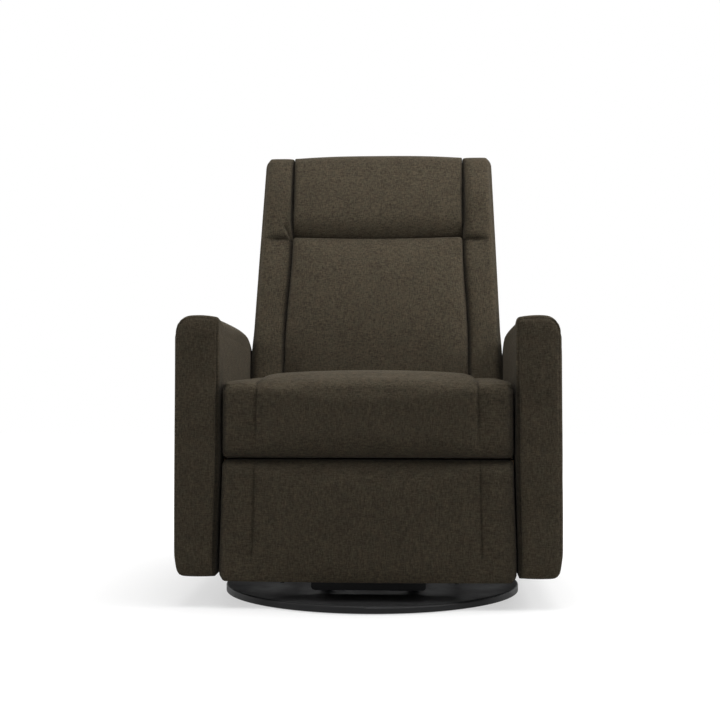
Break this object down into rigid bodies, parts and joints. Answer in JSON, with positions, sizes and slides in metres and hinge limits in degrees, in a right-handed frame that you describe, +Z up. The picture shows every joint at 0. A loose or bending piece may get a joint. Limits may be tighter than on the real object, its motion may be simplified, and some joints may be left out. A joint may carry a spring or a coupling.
{
  "type": "swivel glider recliner",
  "caption": "Upholstered armchair that swivels and glides on a round floor base, with a reclining back, a fold-out footrest and a flush release handle.",
  "frame": {"origin": "on the floor under the swivel axis, at the face of the centre foot", "axes": "+Z up; +Y towards the back of the chair, which faces -Y; +X to the right as seen from the front"},
  "size_m": [0.772, 0.7995, 0.9922],
  "materials": {
    "upholstery": "heathered woven wool-like cloth, dark olive brown, matte",
    "black_steel": "black powder coat, satin to gloss",
    "black_lacquer": "engineered wood in black satin lacquer",
    "zinc_steel": "zinc plated",
    "spring_steel": "oiled spring wire",
    "plywood": "raw birch plywood",
    "glide_rubber": "matte",
    "clip_plastic": "natural nylon",
    "black_plastic": "fine texture, satin"
  },
  "bodies": {
    "base": {"floor_glides": "glide_rubber", "base_disc": "black_lacquer", "swivel_lower_plate": "black_steel", "swivel_bearing_balls": "zinc_steel", "swivel_center_pin": "zinc_steel", "base_plate_screws": "zinc_steel"},
    "swivel": {"swivel_upper_plate": "black_steel", "glider_front_beam": "black_steel", "glider_rear_beam": "black_steel", "glider_base_bars": "black_steel", "glider_cross_bars": "black_steel", "glider_side_bars": "black_steel", "glider_uprights": "black_steel", "glider_upper_pins": "zinc_steel"},
    "front_links": {"glide_links_front": "black_steel"},
    "rear_links": {"glide_links_rear": "black_steel"},
    "chair": {"mechanism_rail_left": "black_steel", "mechanism_rail_right": "black_steel", "glider_lower_pins": "zinc_steel", "middle_cross_tube": "black_steel", "rear_cross_tube": "black_steel", "chair_frame_bolts": "zinc_steel", "arm_left": "upholstery", "arm_right": "upholstery", "arm_frame_left": "plywood", "arm_frame_right": "plywood", "rear_apron": "upholstery", "seat_front_rail": "plywood", "seat_rear_rail": "plywood", "seat_springs": "spring_steel", "seat_spring_clips": "clip_plastic", "seat_cushion": "upholstery", "recliner_plate_left": "black_steel", "recliner_plate_right": "black_steel", "recliner_studs": "zinc_steel", "release_bezel": "black_plastic", "release_cable": "black_plastic"},
    "back": {"back_post_left": "plywood", "back_post_right": "plywood", "back_lower_rail": "plywood", "back_upper_rail": "plywood", "back_hinge_brackets": "black_steel", "back_springs": "spring_steel", "back_spring_clips": "clip_plastic", "back_cushion": "upholstery", "headrest_cushion": "upholstery", "back_bolster_left": "upholstery", "back_bolster_right": "upholstery", "back_outer_panel": "upholstery"},
    "lift_links": {"footrest_lift_links": "black_steel"},
    "long_links": {"footrest_long_links": "black_steel"},
    "control_links": {"footrest_control_links": "black_steel"},
    "tilt_links": {"footrest_tilt_links": "black_steel"},
    "footrest": {"footrest_brackets": "black_steel", "footrest_board_screws": "zinc_steel", "footrest_board": "plywood", "footrest_pad": "upholstery"},
    "handle": {"release_handle": "black_plastic"}
  },
  "joints": [
    {"name": "swivel_turn", "type": "hinge", "parent": "base", "child": "swivel", "pos_m": [0, 0, 0.02], "axis": [0, 0, 1], "continuous": true},
    {"name": "glide", "type": "hinge", "parent": "swivel", "child": "front_links", "pos_m": [0, -0.13, 0.205], "axis": [-1, 0, 0], "range_deg": [-28, 28]},
    {"name": "glide_rear", "type": "hinge", "parent": "swivel", "child": "rear_links", "pos_m": [0, 0.15, 0.205], "axis": [-1, 0, 0], "range_deg": [-28.5, 28.5]},
    {"name": "chair_level", "type": "hinge", "parent": "front_links", "child": "chair", "pos_m": [0, -0.13, 0.105], "axis": [-1, 0, 0], "range_deg": [-28.5, 28.5]},
    {"name": "back_recline", "type": "hinge", "parent": "chair", "child": "back", "pos_m": [0, 0.215, 0.235], "axis": [-1, 0, 0], "range_deg": [0, 36]},
    {"name": "footrest_lift", "type": "hinge", "parent": "chair", "child": "lift_links", "pos_m": [0, -0.1019, 0.22275], "axis": [-1, 0, 0], "range_deg": [0, 127.68]},
    {"name": "footrest_elbow", "type": "hinge", "parent": "lift_links", "child": "long_links", "pos_m": [0, -0.00606, 0.12153], "axis": [-1, 0, 0], "range_deg": [-127.71, 0.5]},
    {"name": "footrest_tilt", "type": "hinge", "parent": "long_links", "child": "footrest", "pos_m": [0, -0.18526, 0.22268], "axis": [-1, 0, 0], "range_deg": [-0.5, 85.51]},
    {"name": "footrest_control", "type": "hinge", "parent": "chair", "child": "control_links", "pos_m": [0, -0.14758, 0.25009], "axis": [-1, 0, 0], "range_deg": [-0.5, 127.34]},
    {"name": "footrest_knee", "type": "hinge", "parent": "control_links", "child": "tilt_links", "pos_m": [0, -0.01128, 0.10349], "axis": [-1, 0, 0], "range_deg": [-124.78, 0.5]},
    {"name": "release_pull", "type": "hinge", "parent": "chair", "child": "handle", "pos_m": [-0.38, -0.02, 0.441], "axis": [0, 1, 0], "range_deg": [0, 30], "stiffness_Nm_per_rad": 0.35, "springref_deg": -14.32}
  ],
  "couplings": [
    {"joint": "glide_rear", "follows": "glide", "ratio": 1},
    {"joint": "chair_level", "follows": "glide", "ratio": -1},
    {"joint": "footrest_elbow", "follows": "footrest_lift", "ratio": -0.99632},
    {"joint": "footrest_tilt", "follows": "footrest_lift", "ratio": 0.6658},
    {"joint": "footrest_control", "follows": "footrest_lift", "ratio": 0.99342},
    {"joint": "footrest_knee", "follows": "footrest_lift", "ratio": -0.97337}
  ]
}
